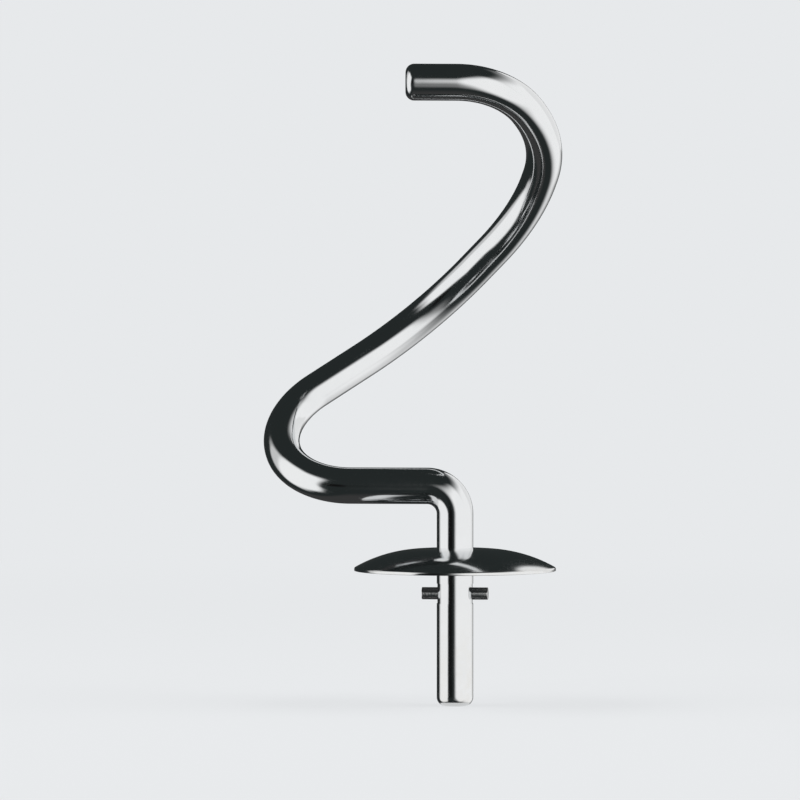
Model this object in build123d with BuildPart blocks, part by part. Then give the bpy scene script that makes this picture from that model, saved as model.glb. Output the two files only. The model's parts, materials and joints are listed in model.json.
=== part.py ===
from build123d import *
from math import asin, cos, radians, sin, tan
import os

# Spiral dough hook, standing on its shank: +Z runs from the shank's free end towards the spiral.
# The origin is where the drive pin's axis crosses the shank's axis, and heights are taken from there.

# Bent bar, in millimetres and degrees
rod_diameter = 11.0
end_round = 2.6  # rounding of the two cut ends
shank_below_pin = 33.9
shank_bend_inside = 2.9  # radius inside the bend from shank to arm
arm_height = 32.4
arm_reach = 48.8  # where the arm's line meets the first run of the spiral

# Spiral, drawn by the corners where neighbouring straight runs would meet without their bends:
# angle round the shank's axis from +X towards +Y, then shares of the spiral's reach and rise
spiral_reach = 65.0  # widest corner, from the shank's axis
spiral_rise = 120.9  # tip end, from the arm's line
spiral_corners = [
    (155.5, 1.0, 0.163),
    (105.7, 0.831, 0.414),
    (62.1, 0.616, 0.682),
    (20.9, 0.469, 0.857),
    (-34.2, 0.298, 0.999),
]
tip_end = (-134.4, 0.298, 1.0)
bend_share = 0.49  # part of its shorter run that each bend of the spiral takes up

# Drive pin, pressed across the shank
pin_diameter = 3.7
pin_length = 20.0
pin_chamfer = 0.4
pin_fit = 0.01  # gap all round in the cross hole
relief_length = 6.0  # shallow turned relief on the shank round the cross hole
relief_depth = 0.2

# Dough guard, a pressed dish with its hollow side towards the shank's free end
guard_diameter = 60.8
guard_flat_width = 3.5  # flat ring round the shank
guard_top = 13.5
guard_drop = 5.7  # from the flat down to the upper edge of the rim
guard_sheet = 0.9
dish_rings = 3  # straight-sided rings that follow the dish's round section
guard_fit = 0.02  # gap all round on the shank


def round_the_shank(angle, reach_share, rise_share):
    reach = reach_share * spiral_reach
    height = arm_height + rise_share * spiral_rise
    return Vector(reach * cos(radians(angle)), reach * sin(radians(angle)), height)


def bend_radius(before, corner, after):
    run_in = corner - before
    run_out = after - corner
    half_turn = radians(run_in.get_angle(run_out)) / 2
    return bend_share * min(run_in.length, run_out.length) / tan(half_turn)


shank_corner = Vector(0, 0, arm_height)
arm_corner = Vector(-arm_reach, 0, arm_height)
spiral_points = [round_the_shank(*corner) for corner in spiral_corners]
tip_point = round_the_shank(*tip_end)
bar_points = [Vector(0, 0, -shank_below_pin), shank_corner, arm_corner, *spiral_points, tip_point]
bend_radii = [shank_bend_inside + rod_diameter / 2]
for before, corner, after in zip(bar_points[1:], bar_points[2:], bar_points[3:]):
    bend_radii.append(bend_radius(before, corner, after))

# Hook rod: one round bar bent from shank to tip, straight runs joined by tangent bends
with BuildPart() as hook_rod:
    with BuildLine():
        FilletPolyline(*bar_points, radius=bend_radii)
    with BuildSketch(Plane.XY.offset(-shank_below_pin)):
        Circle(rod_diameter / 2)
    sweep()
    fillet(hook_rod.faces().filter_by(GeomType.PLANE).edges(), end_round)
    with BuildSketch(Plane.XY.offset(-relief_length / 2)):
        Circle(rod_diameter / 2 + relief_depth)
        Circle(rod_diameter / 2 - relief_depth, mode=Mode.SUBTRACT)
    extrude(amount=relief_length, mode=Mode.SUBTRACT)
    with BuildSketch(Plane.YZ):
        Circle(pin_diameter / 2 + pin_fit)
    extrude(amount=rod_diameter, both=True, mode=Mode.SUBTRACT)
hook_rod.part.label = "hook_rod"

# Drive pin: plain dowel along X, in line with the arm
with BuildPart() as drive_pin:
    with BuildSketch(Plane.YZ.offset(-pin_length / 2)):
        Circle(pin_diameter / 2)
    extrude(amount=pin_length)
    chamfer(drive_pin.faces().filter_by(GeomType.PLANE).edges(), pin_chamfer)
drive_pin.part.label = "drive_pin"

# Dough guard: flat round the shank, then a round section down to a rim trimmed parallel to the shank
guard_bore_radius = rod_diameter / 2 + guard_fit
guard_flat_radius = guard_bore_radius + guard_flat_width
dish_width = guard_diameter / 2 - guard_flat_radius
dish_radius = (dish_width**2 + guard_drop**2) / (2 * guard_drop)


def dish_side(radius, height):
    slope = asin(dish_width / radius)
    side = [(guard_bore_radius, height)]
    for ring in range(dish_rings + 1):
        angle = slope * ring / dish_rings
        side.append((guard_flat_radius + radius * sin(angle), height - radius * (1 - cos(angle))))
    return side


upper_side = dish_side(dish_radius, guard_top)
lower_side = dish_side(dish_radius - guard_sheet, guard_top - guard_sheet)
with BuildPart() as dough_guard:
    with BuildSketch(Plane.XZ):
        with BuildLine():
            Polyline(*upper_side, *reversed(lower_side), close=True)
        make_face()
    revolve(axis=Axis.Z)
dough_guard.part.label = "dough_guard"

os.makedirs("parts", exist_ok=True)
for piece in (hook_rod, drive_pin, dough_guard):
    export_step(piece.part, f"parts/{piece.part.label}.step")
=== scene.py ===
import json
import math
import bmesh
import bpy
from mathutils import Matrix, Vector


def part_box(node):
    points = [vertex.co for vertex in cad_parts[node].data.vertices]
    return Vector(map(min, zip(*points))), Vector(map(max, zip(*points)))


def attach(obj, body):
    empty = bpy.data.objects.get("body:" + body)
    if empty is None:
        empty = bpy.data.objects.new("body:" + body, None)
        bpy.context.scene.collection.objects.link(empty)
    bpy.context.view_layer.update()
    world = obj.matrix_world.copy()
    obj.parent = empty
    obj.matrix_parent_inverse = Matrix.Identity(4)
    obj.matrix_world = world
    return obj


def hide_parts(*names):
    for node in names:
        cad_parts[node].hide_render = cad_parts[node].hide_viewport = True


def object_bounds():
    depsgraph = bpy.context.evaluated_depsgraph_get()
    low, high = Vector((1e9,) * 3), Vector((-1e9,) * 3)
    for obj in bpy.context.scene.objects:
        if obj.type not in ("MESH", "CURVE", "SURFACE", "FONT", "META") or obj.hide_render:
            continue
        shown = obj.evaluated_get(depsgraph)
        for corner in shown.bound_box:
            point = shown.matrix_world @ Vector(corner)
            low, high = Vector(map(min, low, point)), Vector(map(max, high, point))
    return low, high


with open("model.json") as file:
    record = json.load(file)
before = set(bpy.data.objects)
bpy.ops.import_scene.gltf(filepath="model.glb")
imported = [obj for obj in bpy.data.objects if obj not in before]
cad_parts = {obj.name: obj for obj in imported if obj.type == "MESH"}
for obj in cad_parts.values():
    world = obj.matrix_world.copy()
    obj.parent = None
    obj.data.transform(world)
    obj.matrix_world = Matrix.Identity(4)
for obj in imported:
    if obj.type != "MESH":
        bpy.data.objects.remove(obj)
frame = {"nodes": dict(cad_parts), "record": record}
cadLow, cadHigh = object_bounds()
mm = 0.001
samePlace = 0.01 * mm  # points closer than this count as one place
smoothAngle = math.radians(32)
print("frame loaded:", ", ".join(sorted(frame["nodes"])))


# small helpers for working in edit mode
def clearSelection():
    if bpy.context.mode != "OBJECT":
        bpy.ops.object.mode_set(mode="OBJECT")
    bpy.ops.object.select_all(action="DESELECT")


def enterEdit():
    bpy.ops.object.mode_set(mode="EDIT")
    bpy.ops.mesh.select_mode(type="VERT")


def selectWhere(test):
    mesh = bpy.context.edit_object.data
    bpy.ops.mesh.select_mode(type="VERT")
    bpy.ops.mesh.select_all(action="DESELECT")
    cage = bmesh.from_edit_mesh(mesh)
    for vert in cage.verts:
        vert.select = test(vert.co)
    cage.select_flush(True)
    bmesh.update_edit_mesh(mesh)


def selectEdges(test):
    mesh = bpy.context.edit_object.data
    bpy.ops.mesh.select_mode(type="EDGE")
    bpy.ops.mesh.select_all(action="DESELECT")
    cage = bmesh.from_edit_mesh(mesh)
    for edge in cage.edges:
        edge.select = test(edge.verts[0].co, edge.verts[1].co)
    bmesh.update_edit_mesh(mesh)


def extrudeBy(move):
    bpy.ops.mesh.extrude_region_move(TRANSFORM_OT_translate={"value": move})


def roundEdges(offset, steps):
    bpy.ops.mesh.bevel(offset=offset, segments=steps, affect="EDGES")


def mergeDoubles(gap):
    bpy.ops.mesh.select_all(action="SELECT")
    bpy.ops.mesh.remove_doubles(threshold=gap)


def keepAsPiece(piece, name, node, material):
    bpy.ops.object.mode_set(mode="OBJECT")
    bpy.ops.object.transform_apply(location=True, rotation=True, scale=True)
    bpy.ops.object.shade_smooth_by_angle(angle=smoothAngle)
    piece.name = name
    piece.data.name = name
    piece.data.materials.clear()
    piece.data.materials.append(material)
    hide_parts(node)
    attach(piece, "root")
    print(name, "built:", len(piece.data.polygons), "faces")


# helpers for shader nodes: each source is a plain value or another node's output
def addNode(tree, kind, sources, **options):
    made = tree.nodes.new("ShaderNode" + kind)
    for option, value in options.items():
        setattr(made, option, value)
    for socket, source in sources.items():
        if isinstance(source, (int, float, tuple, Vector)):
            made.inputs[socket].default_value = source
        else:
            tree.links.new(source, made.inputs[socket])
    return made.outputs


def objectPlace(tree):
    return addNode(tree, "TexCoord", {})["Object"]


def mathNode(tree, operation, *values):
    return addNode(tree, "Math", dict(enumerate(values)), operation=operation)["Value"]


def lengthNode(tree, vector):
    return addNode(tree, "VectorMath", {0: vector}, operation="LENGTH")["Value"]


def fadeNode(tree, value, fromMin, fromMax, toMin=0.0, toMax=1.0):
    sources = {
        "Value": value,
        "From Min": fromMin,
        "From Max": fromMax,
        "To Min": toMin,
        "To Max": toMax,
    }
    return addNode(tree, "MapRange", sources, interpolation_type="SMOOTHSTEP")["Result"]


def mixColors(tree, factor, first, second):
    sources = {"Factor": factor, "A": first, "B": second}
    return addNode(tree, "Mix", sources, data_type="RGBA")["Result"]


def newGroup(name, inputs, results):
    tree = bpy.data.node_groups.new(name, "ShaderNodeTree")
    for side, sockets in (("INPUT", inputs), ("OUTPUT", results)):
        for kind, names in sockets.items():
            for socket in names:
                tree.interface.new_socket(socket, in_out=side, socket_type="NodeSocket" + kind)
    given = tree.nodes.new("NodeGroupInput").outputs
    result = tree.nodes.new("NodeGroupOutput").inputs
    return tree, given, result


def newMaterial(name):
    material = bpy.data.materials.new(name)
    material.use_nodes = True
    return material, material.node_tree


# steel finish shared by the three pieces: smudges, hairlines, grinding lines, ripple and wear
polish = {
    "noiseRoughness": 0.6,
    "smudgeDetail": 6.0,
    "smudgeRange": (0.35, 0.7),
    "rippleDetail": 1.0,
    "hairTurns": ((0.3, 0.2, 0.1), (1.2, 0.4, 0.9), (0.5, 1.3, 2.1)),
    "hairStretch": (1.0, 1.0, 0.03),
    "hairDetail": 2.0,
    "hairRange": (0.63, 0.7),
    "hairRough": 0.03,
    "hairDepth": 0.004,
    "grindStretch": (1.0, 0.0, 0.0),
    "grindDetail": 2.0,
    "patchDetail": 4.0,
    "patchRange": (0.3, 0.65),
}


def noiseNode(tree, vector, scale, detail):
    sources = {
        "Vector": vector,
        "Scale": scale,
        "Detail": detail,
        "Roughness": polish["noiseRoughness"],
    }
    return addNode(tree, "TexNoise", sources)["Fac"]


def polishGroup(settings):
    sizes = ("Smudge Size", "Hairline Size", "Ripple Size", "Grind Size", "Grind Depth")
    roughs = ("Rough Low", "Rough High", "Wear", "Wear Rough")
    inputs = {"Float": sizes + roughs, "Color": ("Light Tint", "Dark Tint", "Worn Tint")}
    results = {"Color": ("Color",), "Float": ("Roughness", "Height")}
    tree, given, result = newGroup("polishMarks", inputs, results)
    place = objectPlace(tree)
    smudge = noiseNode(tree, place, given["Smudge Size"], settings["smudgeDetail"])
    ripple = noiseNode(tree, place, given["Ripple Size"], settings["rippleDetail"])
    # hairlines in three directions, each a noise drawn out along one axis
    hairline = 0.0
    for turn in settings["hairTurns"]:
        sources = {"Vector": place, "Rotation": turn, "Scale": settings["hairStretch"]}
        drawn = addNode(tree, "Mapping", sources)["Vector"]
        streak = noiseNode(tree, drawn, given["Hairline Size"], settings["hairDetail"])
        streak = fadeNode(tree, streak, *settings["hairRange"])
        hairline = mathNode(tree, "MAXIMUM", hairline, streak)
    # grinding lines that run round a piece lying along X
    sources = {"Vector": place, "Scale": settings["grindStretch"]}
    across = addNode(tree, "Mapping", sources)["Vector"]
    grind = noiseNode(tree, across, given["Grind Size"], settings["grindDetail"])
    grind = mathNode(tree, "MULTIPLY", grind, given["Grind Depth"])
    low, high = given["Rough Low"], given["Rough High"]
    rough = fadeNode(tree, smudge, *settings["smudgeRange"], low, high)
    scratched = mathNode(tree, "MULTIPLY", hairline, settings["hairRough"])
    rough = mathNode(tree, "ADD", rough, scratched)
    worn = mathNode(tree, "MULTIPLY", given["Wear"], given["Wear Rough"])
    tree.links.new(mathNode(tree, "ADD", rough, worn), result["Roughness"])
    color = mixColors(tree, smudge, given["Light Tint"], given["Dark Tint"])
    color = mixColors(tree, given["Wear"], color, given["Worn Tint"])
    tree.links.new(color, result["Color"])
    groove = mathNode(tree, "MULTIPLY", hairline, settings["hairDepth"])
    height = mathNode(tree, "SUBTRACT", ripple, groove)
    tree.links.new(mathNode(tree, "ADD", height, grind), result["Height"])
    return tree


def wearGroup(settings):
    inputs = {"Float": ("Distance", "Start", "End", "Patch Size")}
    tree, given, result = newGroup("edgeWear", inputs, {"Float": ("Mask",)})
    patch = noiseNode(tree, objectPlace(tree), given["Patch Size"], settings["patchDetail"])
    patch = fadeNode(tree, patch, *settings["patchRange"])
    rubbed = fadeNode(tree, given["Distance"], given["Start"], given["End"])
    tree.links.new(mathNode(tree, "MULTIPLY", rubbed, patch), result["Mask"])
    return tree


def steelMaterial(name, marks, wear, settings):
    material, tree = newMaterial(name)
    shader = tree.nodes["Principled BSDF"].inputs
    shader["Metallic"].default_value = 1.0
    # how far out along the worn direction a point lies
    sources = {0: objectPlace(tree), 1: settings["wornAlong"], 2: settings["wornFrom"]}
    along = addNode(tree, "VectorMath", sources, operation="MULTIPLY_ADD")["Vector"]
    sources = {**settings["wear"], "Distance": lengthNode(tree, along)}
    mask = addNode(tree, "Group", sources, node_tree=wear)["Mask"]
    finish = addNode(tree, "Group", {**settings["marks"], "Wear": mask}, node_tree=marks)
    bump = addNode(tree, "Bump", {**settings["bump"], "Height": finish["Height"]})
    tree.links.new(finish["Color"], shader["Base Color"])
    tree.links.new(finish["Roughness"], shader["Roughness"])
    tree.links.new(bump["Normal"], shader["Normal"])
    return material


barFinish = {
    "marks": {
        "Smudge Size": 90.0,
        "Hairline Size": 2600.0,
        "Ripple Size": 70.0,
        "Grind Size": 6000.0,
        "Grind Depth": 0.0,
        "Rough Low": 0.07,
        "Rough High": 0.13,
        "Wear Rough": 0.05,
        "Light Tint": (0.745, 0.75, 0.752, 1.0),
        "Dark Tint": (0.675, 0.69, 0.7, 1.0),
        "Worn Tint": (0.7, 0.7, 0.69, 1.0),
    },
    "bump": {"Strength": 0.4, "Distance": 0.2 * mm},
    # the mixer's socket rubs the shank, counted up from its free end
    "wear": {"Start": 36.0 * mm, "End": 6.0 * mm, "Patch Size": 260.0},
    "wornAlong": (0.0, 0.0, 1.0),
    "wornFrom": (0.0, 0.0, 33.9 * mm),
}
guardFinish = {
    **barFinish,
    "marks": {**barFinish["marks"], "Smudge Size": 70.0, "Rough High": 0.12},
    # worn along the rim
    "wear": {"Start": 28.6 * mm, "End": 30.3 * mm, "Patch Size": 420.0},
    "wornAlong": (1.0, 1.0, 0.0),
    "wornFrom": (0.0, 0.0, 0.0),
}
pinFinish = {
    **barFinish,
    "marks": {
        **barFinish["marks"],
        "Smudge Size": 160.0,
        "Ripple Size": 6.0,
        "Grind Depth": 0.7,
        "Rough Low": 0.08,
        "Rough High": 0.14,
    },
    # worn towards both ends
    "wear": {"Start": 6.5 * mm, "End": 9.6 * mm, "Patch Size": 700.0},
    "wornAlong": (1.0, 0.0, 0.0),
    "wornFrom": (0.0, 0.0, 0.0),
}
marks, wear = polishGroup(polish), wearGroup(polish)
barSteel = steelMaterial("polishedBarSteel", marks, wear, barFinish)
guardSteel = steelMaterial("pressedGuardSteel", marks, wear, guardFinish)
pinSteel = steelMaterial("groundPinSteel", marks, wear, pinFinish)
print("steel finishes made")


# hook bar: a circle taken along the shank, the arm and the spiral by extrude and spin
mounts = {mount["name"]: mount for mount in frame["record"]["mounts"]}
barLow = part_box("hook_rod")[0]
pinLow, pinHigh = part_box("drive_pin")
hookBar = {
    "radius": mounts["shank"]["dims"]["r_mm"] * mm,
    "sides": 96,
    "mergeGap": 0.001 * mm,
    "endRound": 2.6 * mm,
    "endSteps": 10,
    # narrow plain band beside each rounding, so that the long faces shade straight
    "endPlain": 0.5 * mm,
    "reliefHalf": 3.0 * mm,
    "reliefDepth": 0.2 * mm,
    "holeGap": 0.01 * mm,
    "holeSides": 64,
    "drillLength": 22.0 * mm,
    "shankBend": 8.4 * mm,
    "armHeight": 32.4 * mm,
    "armReach": 48.8 * mm,
    "spiralReach": 65.0 * mm,
    "spiralRise": 120.9 * mm,
    # angle round the shank, shares of the reach and of the rise
    "spiralCorners": [
        (155.5, 1.0, 0.163),
        (105.7, 0.831, 0.414),
        (62.1, 0.616, 0.682),
        (20.9, 0.469, 0.857),
        (-34.2, 0.298, 0.999),
        (-134.4, 0.298, 1.0),
    ],
    "bendShare": 0.49,  # part of its shorter run that each bend of the spiral takes up
    "bendStep": math.radians(1.5),
}


def barCorners(settings):
    armHeight, armReach = settings["armHeight"], settings["armReach"]
    shankEnd, shankCorner = Vector((0, 0, barLow.z)), Vector((0, 0, armHeight))
    corners = [shankEnd, shankCorner, Vector((-armReach, 0, armHeight))]
    for angle, reachShare, riseShare in settings["spiralCorners"]:
        turn = math.radians(angle)
        reach = reachShare * settings["spiralReach"]
        height = armHeight + riseShare * settings["spiralRise"]
        corners.append(Vector((reach * math.cos(turn), reach * math.sin(turn), height)))
    return corners


def scaleRing(share, centre):
    extrudeBy((0, 0, 0))
    bpy.ops.transform.resize(value=(share, share, 1), center_override=centre)


def cutCrossHole(bar, settings):
    clearSelection()
    bpy.ops.mesh.primitive_cylinder_add(
        vertices=settings["holeSides"],
        radius=pinHigh.z + settings["holeGap"],
        depth=settings["drillLength"],
        rotation=(0, math.pi / 2, 0),
    )
    drill = bpy.context.object
    bpy.ops.object.transform_apply(rotation=True)
    clearSelection()
    bpy.context.view_layer.objects.active = bar
    bar.select_set(True)
    bpy.ops.object.modifier_add(type="BOOLEAN")
    cut = bar.modifiers[-1]
    cut.object = drill
    cut.operation = "DIFFERENCE"
    cut.solver = "EXACT"
    bpy.ops.object.modifier_apply(modifier=cut.name)
    bpy.data.objects.remove(drill)


# a straight run and a bend at each corner in turn, giving the place where the last bend ends
def runAndBend(corners, here, settings):
    for before, corner, after in zip(corners, corners[1:], corners[2:]):
        runIn, runOut = corner - before, after - corner
        turn = runIn.angle(runOut)
        if before == corners[0]:
            bend = settings["shankBend"]
        else:
            shorter = min(runIn.length, runOut.length)
            bend = settings["bendShare"] * shorter / math.tan(turn / 2)
        lead = bend * math.tan(turn / 2)
        start = corner - runIn.normalized() * lead
        axis = runIn.cross(runOut).normalized()
        centre = start + axis.cross(runIn.normalized()) * bend
        extrudeBy(start - here)
        steps = round(turn / settings["bendStep"])
        bpy.ops.mesh.spin(steps=steps, angle=-turn, center=centre, axis=axis)
        here = corner + runOut.normalized() * lead
    return here


def closeEnd(end, before, settings):
    outward = (end - before).normalized()

    def onEnd(spot):
        apart = spot - end
        return abs(apart.dot(outward)) < samePlace and apart.length < 2 * settings["radius"]

    selectWhere(onEnd)
    bpy.ops.mesh.edge_face_add()
    roundEdges(settings["endRound"], settings["endSteps"])


def buildHookBar(settings, material):
    corners = barCorners(settings)
    radius = settings["radius"]
    clearSelection()
    bpy.ops.mesh.primitive_circle_add(
        vertices=settings["sides"], radius=radius, location=corners[0]
    )
    bar = bpy.context.object
    bpy.ops.object.transform_apply(location=True)
    enterEdit()
    bpy.ops.mesh.select_all(action="SELECT")
    endBand = settings["endRound"] + settings["endPlain"]
    extrudeBy((0, 0, endBand))
    # shallow relief round the pin
    neck = (radius - settings["reliefDepth"]) / radius
    high = Vector((0, 0, settings["reliefHalf"]))
    low = -high
    extrudeBy(low - corners[0] - Vector((0, 0, endBand)))
    scaleRing(neck, low)
    extrudeBy(high - low)
    scaleRing(1 / neck, high)
    here = runAndBend(corners, high, settings)
    tipBand = (corners[-1] - corners[-2]).normalized() * endBand
    extrudeBy(corners[-1] - tipBand - here)
    extrudeBy(tipBand)
    closeEnd(corners[-1], corners[-2], settings)
    closeEnd(corners[0], corners[1], settings)
    mergeDoubles(settings["mergeGap"])
    bpy.ops.mesh.normals_make_consistent(inside=False)
    cutCrossHole(bar, settings)
    keepAsPiece(bar, "hookBar", "hook_rod", material)


buildHookBar(hookBar, barSteel)


# dough guard: its section drawn from one point, then spun round the shank
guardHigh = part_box("dough_guard")[1]
doughGuard = {
    "boreRadius": hookBar["radius"] + 0.02 * mm,
    "flatWidth": 3.5 * mm,
    "drop": 5.7 * mm,
    "sheet": 0.9 * mm,
    "edgeRound": 0.3 * mm,
    "edgeSteps": 6,
    "dishSteps": 40,
    "sides": 192,
    "mergeGap": 0.01 * mm,
}


def buildDoughGuard(settings, material):
    top, rim = guardHigh.z, guardHigh.x
    drop, sheet, flatWidth = settings["drop"], settings["sheet"], settings["flatWidth"]
    flatEdge = settings["boreRadius"] + flatWidth
    dishWidth = rim - flatEdge
    dishRadius = (dishWidth**2 + drop**2) / (2 * drop)
    innerRadius = dishRadius - sheet
    slope, innerSlope = math.asin(dishWidth / dishRadius), math.asin(dishWidth / innerRadius)
    rimHeight = dishRadius * math.cos(slope) - innerRadius * math.cos(innerSlope)
    dish = {
        "steps": settings["dishSteps"],
        "center": (flatEdge, 0, top - dishRadius),
        "axis": (0, 1, 0),
    }
    # a small plane merged into the section's first point
    clearSelection()
    bpy.ops.mesh.primitive_plane_add(size=mm, location=(settings["boreRadius"], 0, top))
    guard = bpy.context.object
    bpy.ops.object.transform_apply(location=True)
    enterEdit()
    bpy.ops.mesh.select_all(action="SELECT")
    bpy.ops.mesh.merge(type="CENTER")
    extrudeBy((flatWidth, 0, 0))
    bpy.ops.mesh.spin(angle=-slope, **dish)
    extrudeBy((0, 0, -rimHeight))
    bpy.ops.mesh.spin(angle=innerSlope, **dish)
    extrudeBy((-flatWidth, 0, 0))
    extrudeBy((0, 0, sheet))
    mergeDoubles(settings["mergeGap"])
    bpy.ops.mesh.spin(
        steps=settings["sides"], angle=2 * math.pi, center=(0, 0, 0), axis=(0, 0, 1)
    )
    mergeDoubles(settings["mergeGap"])
    bpy.ops.mesh.normals_make_consistent(inside=False)

    # round the two cut edges of the rim
    def alongRim(one, other):
        onRim = min(one.xy.length, other.xy.length) > rim - samePlace
        return onRim and abs(one.z - other.z) < samePlace

    selectEdges(alongRim)
    roundEdges(settings["edgeRound"], settings["edgeSteps"])
    keepAsPiece(guard, "doughGuard", "dough_guard", material)


buildDoughGuard(doughGuard, guardSteel)


# drive pin: a short dowel with rounded ends, each beside a narrow plain band
drivePin = {"sides": 64, "endRound": 0.2 * mm, "endSteps": 4, "endPlain": 0.2 * mm}


def buildDrivePin(settings, material):
    endBand = settings["endRound"] + settings["endPlain"]
    middle = pinHigh.x - pinLow.x - 2 * endBand
    clearSelection()
    bpy.ops.mesh.primitive_cylinder_add(
        vertices=settings["sides"], radius=pinHigh.z, depth=middle, rotation=(0, math.pi / 2, 0)
    )
    pin = bpy.context.object
    bpy.ops.object.transform_apply(rotation=True)
    enterEdit()
    for side in (-1, 1):
        selectWhere(lambda spot: spot.x * side > middle / 2 - samePlace)
        extrudeBy((side * endBand, 0, 0))
    selectEdges(lambda one, other: min(abs(one.x), abs(other.x)) > pinHigh.x - samePlace)
    roundEdges(settings["endRound"], settings["endSteps"])
    bpy.ops.mesh.select_all(action="SELECT")
    bpy.ops.mesh.normals_make_consistent(inside=False)
    keepAsPiece(pin, "drivePin", "drive_pin", material)


buildDrivePin(drivePin, pinSteel)


# studio: pale floor and background, soft lamps, and a dome that only the metal reflects
studio = {
    "turn": 6.117,  # the camera and the dome stand this far round the shank
    "pale": (0.799, 0.815, 0.831, 1.0),
    "fillStrength": 0.35,
    "floorRadius": 6.0,
    "floorSides": 96,
    "floorColor": (0.8, 0.81, 0.82, 1.0),
    "floorRoughness": 0.9,
    # part of the floor's look that is plain pale: this much near the foot, all of it far out
    "paleNear": 0.8,
    "nearReach": 0.15,
    "farReach": 0.9,
    "lampTurns": {"leftLamp": -84.0, "rightLamp": 80.0},
    "lampLift": 40.0,
    "lampDistance": 1.5,
    "lampSize": 1.2,
    "lampPower": 16.4,
    # pale patch under the shank's end, seen in the metal alone
    "footCardRadius": 6.2 * mm,
    "footCardSides": 48,
    "footCardGap": 1 * mm,
    "domeRadius": 3.0,
    "domeSides": 96,
    "domeRings": 48,
    "domeHeight": 60 * mm,
    "domeDark": (0.023, 0.028, 0.028, 1.0),
    # soft panels, each laid over the ones before it
    # turn and lift of the middle, roll, half width, half height, squareness, softness, brightness
    "panels": {
        "frontShade": (-28.5, -1.5, 0.0, 12.0, 7.0, 2.4, 0.5, 0.008),
        "underLeft": (-154.0, -57.4, -71.0, 60.0, 16.4, 4.0, 0.26, 0.05),
        "leftBack": (-86.0, -1.0, 11.7, 30.0, 42.5, 4.7, 0.14, 0.72),
        "leftFront": (-75.0, -1.3, -19.0, 28.4, 41.5, 4.5, 0.16, 1.13),
        "rightGlow": (80.0, -8.9, 1.4, 77.0, 43.6, 3.5, 0.19, 0.426),
        "rightFront": (41.0, -3.1, -52.7, 38.1, 33.6, 4.0, 0.25, 1.13),
        "rightBack": (102.4, 1.0, 8.2, 38.6, 47.1, 5.4, 0.31, 1.13),
        "rightTop": (137.2, 19.2, 21.4, 25.2, 22.7, 4.2, 0.04, 0.98),
    },
}


def paleToCamera(tree, pale, other):
    rays = addNode(tree, "LightPath", {})
    seen = mathNode(tree, "MAXIMUM", rays["Is Camera Ray"], rays["Is Glossy Ray"])
    seen = mathNode(tree, "MAXIMUM", seen, rays["Is Transmission Ray"])
    return addNode(tree, "MixShader", {0: seen, 1: other, 2: pale})["Shader"]


def setWorld(settings):
    world = bpy.data.worlds.new("paleRoom")
    bpy.context.scene.world = world
    world.use_nodes = True
    tree = world.node_tree
    pale = tree.nodes["Background"]
    pale.inputs["Color"].default_value = settings["pale"]
    sources = {"Color": settings["pale"], "Strength": settings["fillStrength"]}
    fill = addNode(tree, "Background", sources)["Background"]
    seen = paleToCamera(tree, pale.outputs["Background"], fill)
    tree.links.new(seen, tree.nodes["World Output"].inputs["Surface"])


def floorMaterial(settings):
    material, tree = newMaterial("paleFloor")
    shader = tree.nodes["Principled BSDF"]
    shader.inputs["Base Color"].default_value = settings["floorColor"]
    shader.inputs["Roughness"].default_value = settings["floorRoughness"]
    shader.inputs["Specular IOR Level"].default_value = 0.0
    matt = shader.outputs["BSDF"]
    glow = addNode(tree, "Emission", {"Color": settings["pale"]})["Emission"]
    reach = lengthNode(tree, objectPlace(tree))
    share = fadeNode(tree, reach, settings["nearReach"], settings["farReach"], settings["paleNear"])
    blend = addNode(tree, "MixShader", {0: share, 1: matt, 2: glow})["Shader"]
    seen = paleToCamera(tree, blend, matt)
    tree.links.new(seen, tree.nodes["Material Output"].inputs["Surface"])
    return material


# how far inside an oval panel on the dome a direction lies, as a mask with a soft edge
def softPanelGroup():
    inputs = {
        "Vector": ("Direction", "Right", "Up", "Toward"),
        "Float": ("Half Width", "Half Height", "Squareness", "Inner", "Outer"),
    }
    tree, given, result = newGroup("softPanel", inputs, {"Float": ("Mask",)})
    parts = {}
    for axis in ("Right", "Up", "Toward"):
        sources = {0: given["Direction"], 1: given[axis]}
        parts[axis] = addNode(tree, "VectorMath", sources, operation="DOT_PRODUCT")["Value"]
    angle = mathNode(tree, "ARCCOSINE", parts["Toward"])
    spread = mathNode(tree, "DIVIDE", angle, mathNode(tree, "SINE", angle))
    total = 0.0
    for axis, half in (("Right", "Half Width"), ("Up", "Half Height")):
        along = mathNode(tree, "MULTIPLY", parts[axis], spread)
        share = mathNode(tree, "ABSOLUTE", mathNode(tree, "DIVIDE", along, given[half]))
        power = mathNode(tree, "POWER", share, given["Squareness"])
        total = mathNode(tree, "ADD", total, power)
    root = mathNode(tree, "DIVIDE", 1.0, given["Squareness"])
    reach = mathNode(tree, "POWER", total, root)
    mask = fadeNode(tree, reach, given["Inner"], given["Outer"], 1.0, 0.0)
    tree.links.new(mask, result["Mask"])
    return tree


def turnedBy(angle, axis):
    return Matrix.Rotation(math.radians(angle), 3, axis)


def glowOnly(tree, color):
    tree.nodes.remove(tree.nodes["Principled BSDF"])
    glow = addNode(tree, "Emission", {"Color": color})["Emission"]
    tree.links.new(glow, tree.nodes["Material Output"].inputs["Surface"])


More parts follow.
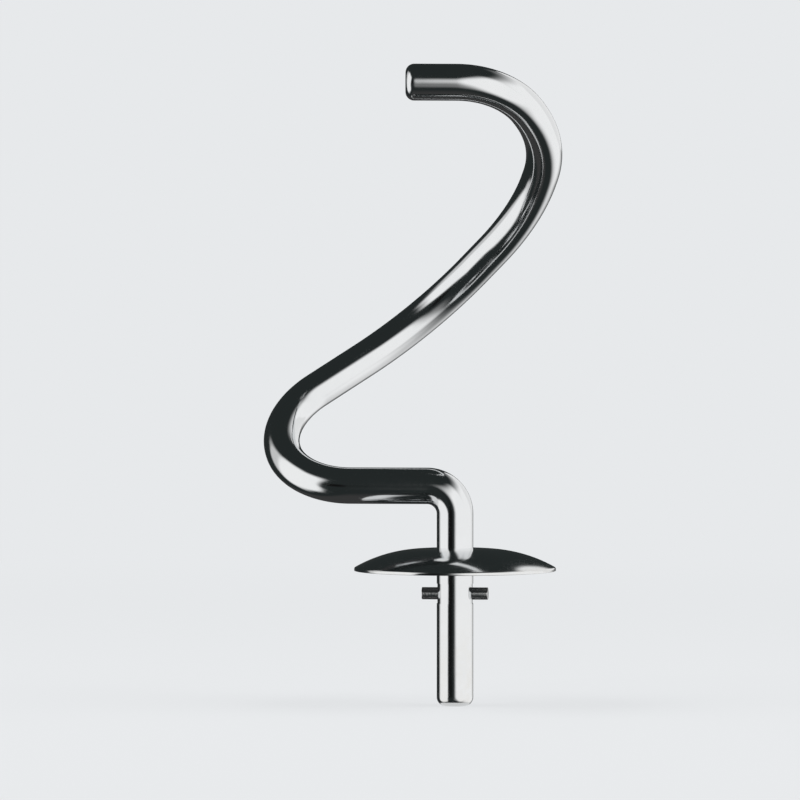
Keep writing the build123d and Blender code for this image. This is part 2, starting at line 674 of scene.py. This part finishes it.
def domeMaterial(settings):
    material, tree = newMaterial("studioDome")
    group = softPanelGroup()
    sources = {0: objectPlace(tree)}
    direction = addNode(tree, "VectorMath", sources, operation="NORMALIZE")["Vector"]
    color = settings["domeDark"]
    for name, values in settings["panels"].items():
        turn, lift, roll, halfWidth, halfHeight, squareness, softness, brightness = values
        facing = turnedBy(turn, "Z") @ turnedBy(-lift, "X") @ turnedBy(-roll, "Y")
        sources = {
            "Direction": direction,
            "Right": facing @ Vector((1, 0, 0)),
            "Up": facing @ Vector((0, 0, 1)),
            "Toward": facing @ Vector((0, -1, 0)),
            "Half Width": math.radians(halfWidth),
            "Half Height": math.radians(halfHeight),
            "Squareness": squareness,
            "Inner": 1 - softness,
            "Outer": 1 + softness,
        }
        mask = addNode(tree, "Group", sources, node_tree=group, name=name)["Mask"]
        color = mixColors(tree, mask, color, (brightness, brightness, brightness, 1.0))
    glowOnly(tree, color)
    return material


def footCardMaterial(settings):
    material, tree = newMaterial("footCard")
    glowOnly(tree, settings["pale"])
    return material


def placeStage(stagePiece, name, material):
    stagePiece.name = name
    stagePiece.data.materials.clear()
    stagePiece.data.materials.append(material)
    return stagePiece


def showInMetalOnly(stagePiece):
    stagePiece.visible_camera = False
    stagePiece.visible_diffuse = False
    stagePiece.visible_shadow = False


def addDisc(sides, radius, height):
    clearSelection()
    bpy.ops.mesh.primitive_circle_add(
        vertices=sides, radius=radius, fill_type="NGON", location=(0, 0, height)
    )
    return bpy.context.object


def buildFloor(settings):
    disc = addDisc(settings["floorSides"], settings["floorRadius"], cadLow.z)
    floor = placeStage(disc, "floor", floorMaterial(settings))
    floor.visible_glossy = False


def buildDome(settings):
    clearSelection()
    bpy.ops.mesh.primitive_uv_sphere_add(
        segments=settings["domeSides"],
        ring_count=settings["domeRings"],
        radius=settings["domeRadius"],
        location=(0, 0, settings["domeHeight"]),
    )
    bpy.ops.object.shade_smooth()
    dome = placeStage(bpy.context.object, "studioDome", domeMaterial(settings))
    dome.rotation_euler.z = math.radians(settings["turn"])
    showInMetalOnly(dome)


def buildFootCard(settings):
    height = cadLow.z - settings["footCardGap"]
    disc = addDisc(settings["footCardSides"], settings["footCardRadius"], height)
    showInMetalOnly(placeStage(disc, "footCard", footCardMaterial(settings)))


def addLamp(settings, name, turn):
    clearSelection()
    around, lift = math.radians(turn + settings["turn"]), math.radians(settings["lampLift"])
    aside, forward = math.sin(around) * math.cos(lift), math.cos(around) * math.cos(lift)
    out = Vector((aside, -forward, math.sin(lift)))
    bpy.ops.object.light_add(type="AREA", location=out * settings["lampDistance"])
    lamp = bpy.context.object
    lamp.name = name
    lamp.rotation_euler = out.to_track_quat("Z", "Y").to_euler()
    lamp.data.size = settings["lampSize"]
    lamp.data.energy = settings["lampPower"]
    lamp.visible_glossy = False
    lamp.visible_camera = False


setWorld(studio)
buildFloor(studio)
buildDome(studio)
buildFootCard(studio)
for lampName, lampTurn in studio["lampTurns"].items():
    addLamp(studio, lampName, lampTurn)
bpy.context.scene.view_settings.view_transform = "Standard"
print("studio set")


# camera at the photograph's place
viewPoint = {
    "aside": -16.58 * mm,
    "distance": 1299.9 * mm,
    "height": 74.2 * mm,
    "lens": 194.1,
    "sensor": 36.0,
    "tiltDown": 0.7,
}


def addCamera(settings, turn):
    cameraData = bpy.data.cameras.new("photoCamera")
    cameraData.lens = settings["lens"]
    cameraData.sensor_width = settings["sensor"]
    camera = bpy.data.objects.new("photoCamera", cameraData)
    place = Vector((settings["aside"], -settings["distance"], settings["height"]))
    camera.location = turnedBy(turn, "Z") @ place
    camera.rotation_euler = (math.radians(90 - settings["tiltDown"]), 0, math.radians(turn))
    bpy.context.collection.objects.link(camera)
    bpy.context.scene.camera = camera


addCamera(viewPoint, studio["turn"])
print("camera set")
